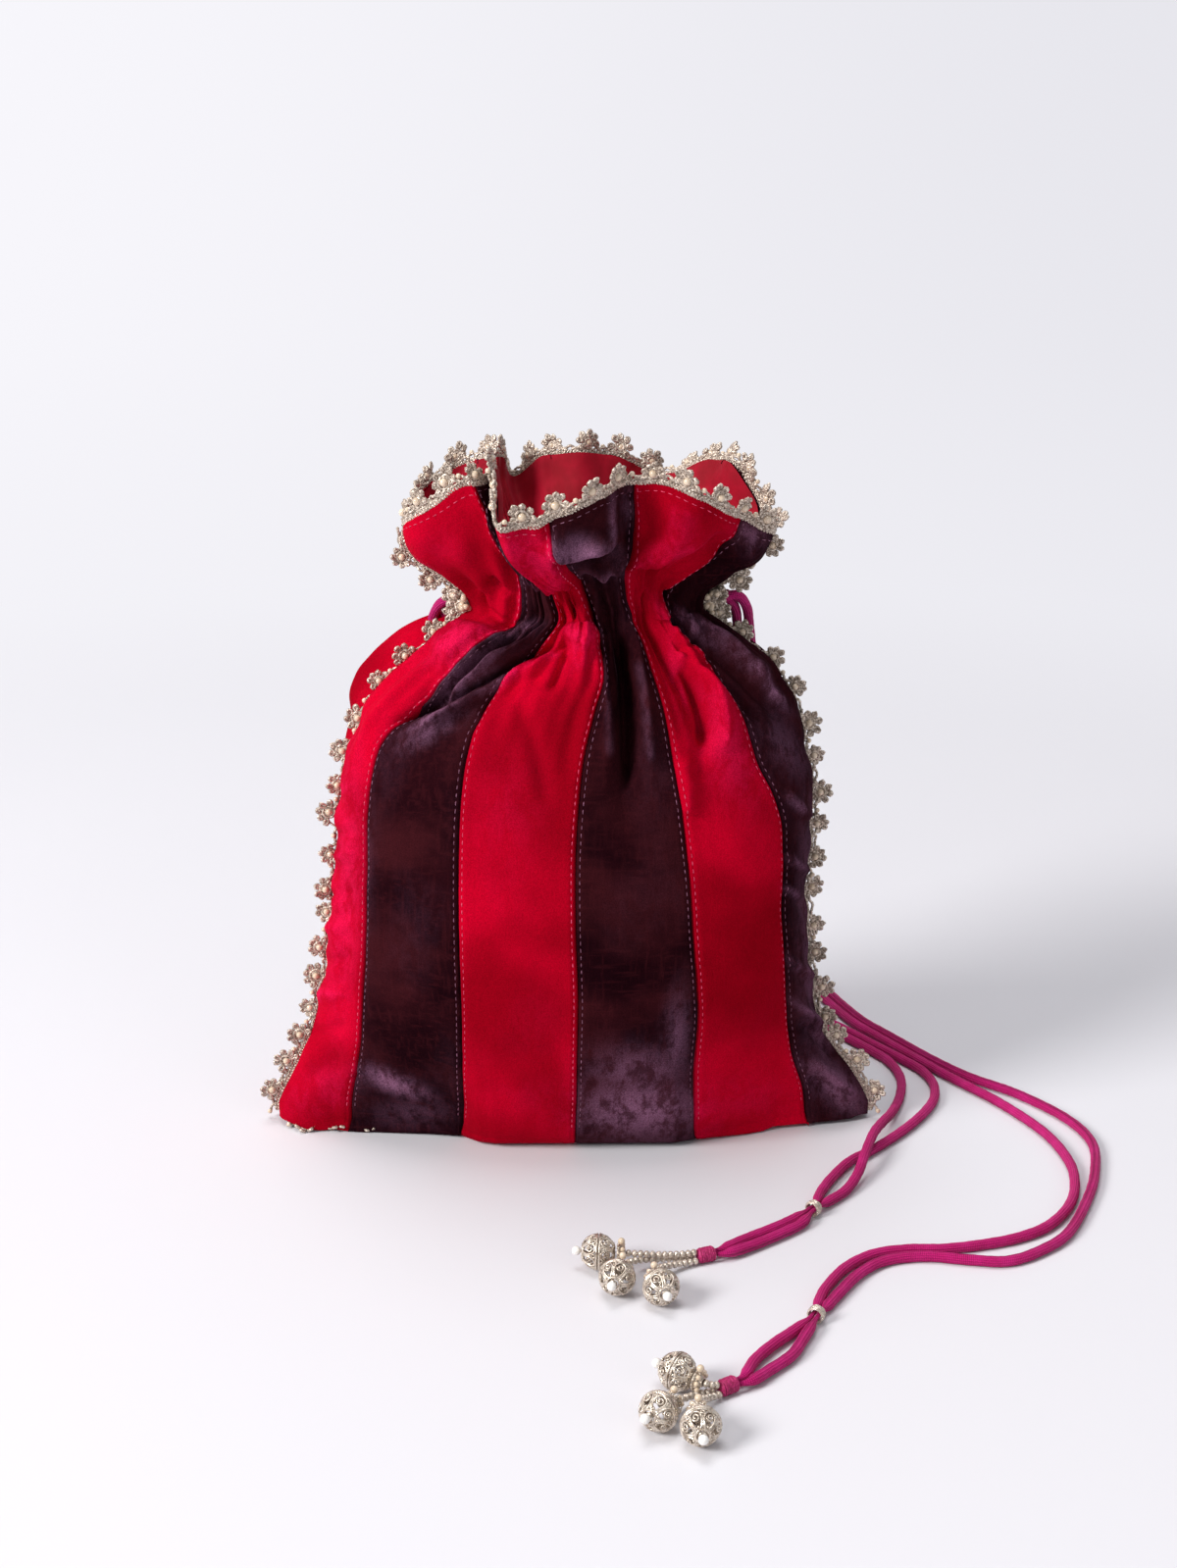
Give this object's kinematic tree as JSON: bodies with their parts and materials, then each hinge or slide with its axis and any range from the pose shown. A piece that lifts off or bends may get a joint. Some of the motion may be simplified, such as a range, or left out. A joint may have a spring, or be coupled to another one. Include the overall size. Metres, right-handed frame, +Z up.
{
  "type": "potli bag",
  "caption": "Potli bag: drawstring pouch of sewn velvet strips, gathered at the neck, with a lace-edged ruffle, lining, drawcords and tassels of openwork balls.",
  "frame": {"origin": "under the middle of the bag (free cords left out), on the surface it stands on", "axes": "+Z up through the mouth, the front panel faces -Y, +X to the viewer's right"},
  "size_m": [0.3022, 0.3453, 0.2472],
  "materials": {
    "red_velvet": "crimson velvet, soft pile",
    "plum_velvet": "dark plum velvet, soft pile",
    "red_lining": "plain red lining cloth",
    "antique_lace": "crocheted metallic thread, dull silver-gold",
    "magenta_cord": "fine woven magenta braid",
    "antique_silver": "antique silver plate",
    "pearl": "cream imitation pearl"
  },
  "bodies": {
    "root": {"front_strip_1": "red_velvet", "front_strip_2": "plum_velvet", "front_strip_3": "red_velvet", "front_strip_4": "plum_velvet", "front_strip_5": "red_velvet", "front_strip_6": "plum_velvet", "back_strip_1": "red_velvet", "back_strip_2": "plum_velvet", "back_strip_3": "red_velvet", "back_strip_4": "plum_velvet", "back_strip_5": "red_velvet", "back_strip_6": "plum_velvet", "lining": "red_lining", "mouth_lace": "antique_lace", "side_lace_left": "antique_lace", "side_lace_right": "antique_lace", "bottom_lace": "antique_lace", "drawcord_right": "magenta_cord", "drawcord_left": "magenta_cord", "keeper_right": "antique_silver", "keeper_left": "antique_silver", "tassel_right_whipping": "magenta_cord", "tassel_right_ball_1": "antique_silver", "tassel_right_end_pearl_1": "pearl", "tassel_right_cap_1": "antique_silver", "tassel_right_string_1": "antique_silver", "tassel_right_cap_pearl_1": "pearl", "tassel_right_ball_2": "antique_silver", "tassel_right_end_pearl_2": "pearl", "tassel_right_cap_2": "antique_silver", "tassel_right_string_2": "antique_silver", "tassel_right_cap_pearl_2": "pearl", "tassel_right_ball_3": "antique_silver", "tassel_right_end_pearl_3": "pearl", "tassel_right_cap_3": "antique_silver", "tassel_right_string_3": "antique_silver", "tassel_right_cap_pearl_3": "pearl", "tassel_left_whipping": "magenta_cord", "tassel_left_ball_1": "antique_silver", "tassel_left_end_pearl_1": "pearl", "tassel_left_cap_1": "antique_silver", "tassel_left_string_1": "antique_silver", "tassel_left_cap_pearl_1": "pearl", "tassel_left_ball_2": "antique_silver", "tassel_left_end_pearl_2": "pearl", "tassel_left_cap_2": "antique_silver", "tassel_left_string_2": "antique_silver", "tassel_left_cap_pearl_2": "pearl", "tassel_left_ball_3": "antique_silver", "tassel_left_end_pearl_3": "pearl", "tassel_left_cap_3": "antique_silver", "tassel_left_string_3": "antique_silver", "tassel_left_cap_pearl_3": "pearl"}
  },
  "joints": []
}
